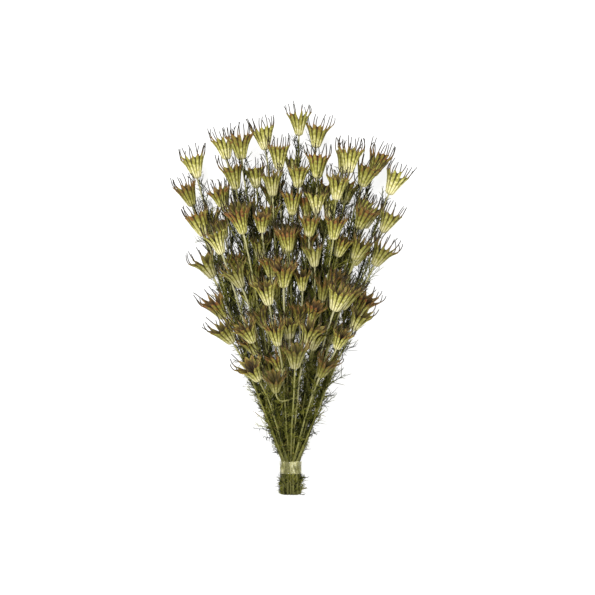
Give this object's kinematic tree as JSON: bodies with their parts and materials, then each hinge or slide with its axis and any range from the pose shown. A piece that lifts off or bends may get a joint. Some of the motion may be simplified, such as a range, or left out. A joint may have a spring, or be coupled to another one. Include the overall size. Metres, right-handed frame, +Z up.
{
  "type": "tied bunch of dried nigella seed pods",
  "caption": "Tied bunch of dried nigella seed pods with long horns, on thin stalks with thread leaves, lying on its side with a band of clear tape round the cut ends.",
  "frame": {"origin": "on the table, under the centre of the lying bunch's box", "axes": "+Y from the cut ends towards the pods, +Z up from the table, +X to the right seen from above"},
  "size_m": [0.2962, 0.4738, 0.1388],
  "materials": {
    "tape": "clear, glossy packing tape, a little crinkled",
    "stem": "dry, matt, finely ridged olive stalk",
    "pod": "dry, papery, pale ribs, reddish brown rims and horns",
    "leaf": "dry, matt, dark olive threads"
  },
  "bodies": {
    "root": {"tape_band": "tape", "stem_01": "stem", "stem_02": "stem", "stem_03": "stem", "stem_04": "stem", "stem_05": "stem", "stem_06": "stem", "stem_07": "stem", "stem_08": "stem", "stem_09": "stem", "stem_10": "stem", "stem_11": "stem", "stem_12": "stem", "stem_13": "stem", "stem_14": "stem", "stem_15": "stem", "stem_16": "stem", "stem_17": "stem", "stem_18": "stem", "stem_19": "stem", "stem_20": "stem", "stem_21": "stem", "stem_22": "stem", "stem_23": "stem", "stem_24": "stem", "stem_25": "stem", "stem_26": "stem", "stem_27": "stem", "stem_28": "stem", "stem_29": "stem", "stem_30": "stem", "stem_31": "stem", "stem_32": "stem", "stem_33": "stem", "stem_34": "stem", "stem_35": "stem", "stem_36": "stem", "stem_37": "stem", "stem_38": "stem", "stem_39": "stem", "stem_40": "stem", "stem_41": "stem", "stem_42": "stem", "stem_43": "stem", "stem_44": "stem", "stem_45": "stem", "stem_46": "stem", "stem_47": "stem", "stem_48": "stem", "stem_49": "stem", "stem_50": "stem", "stem_51": "stem", "stem_52": "stem", "stem_53": "stem", "stem_54": "stem", "stem_55": "stem"}
  },
  "joints": []
}
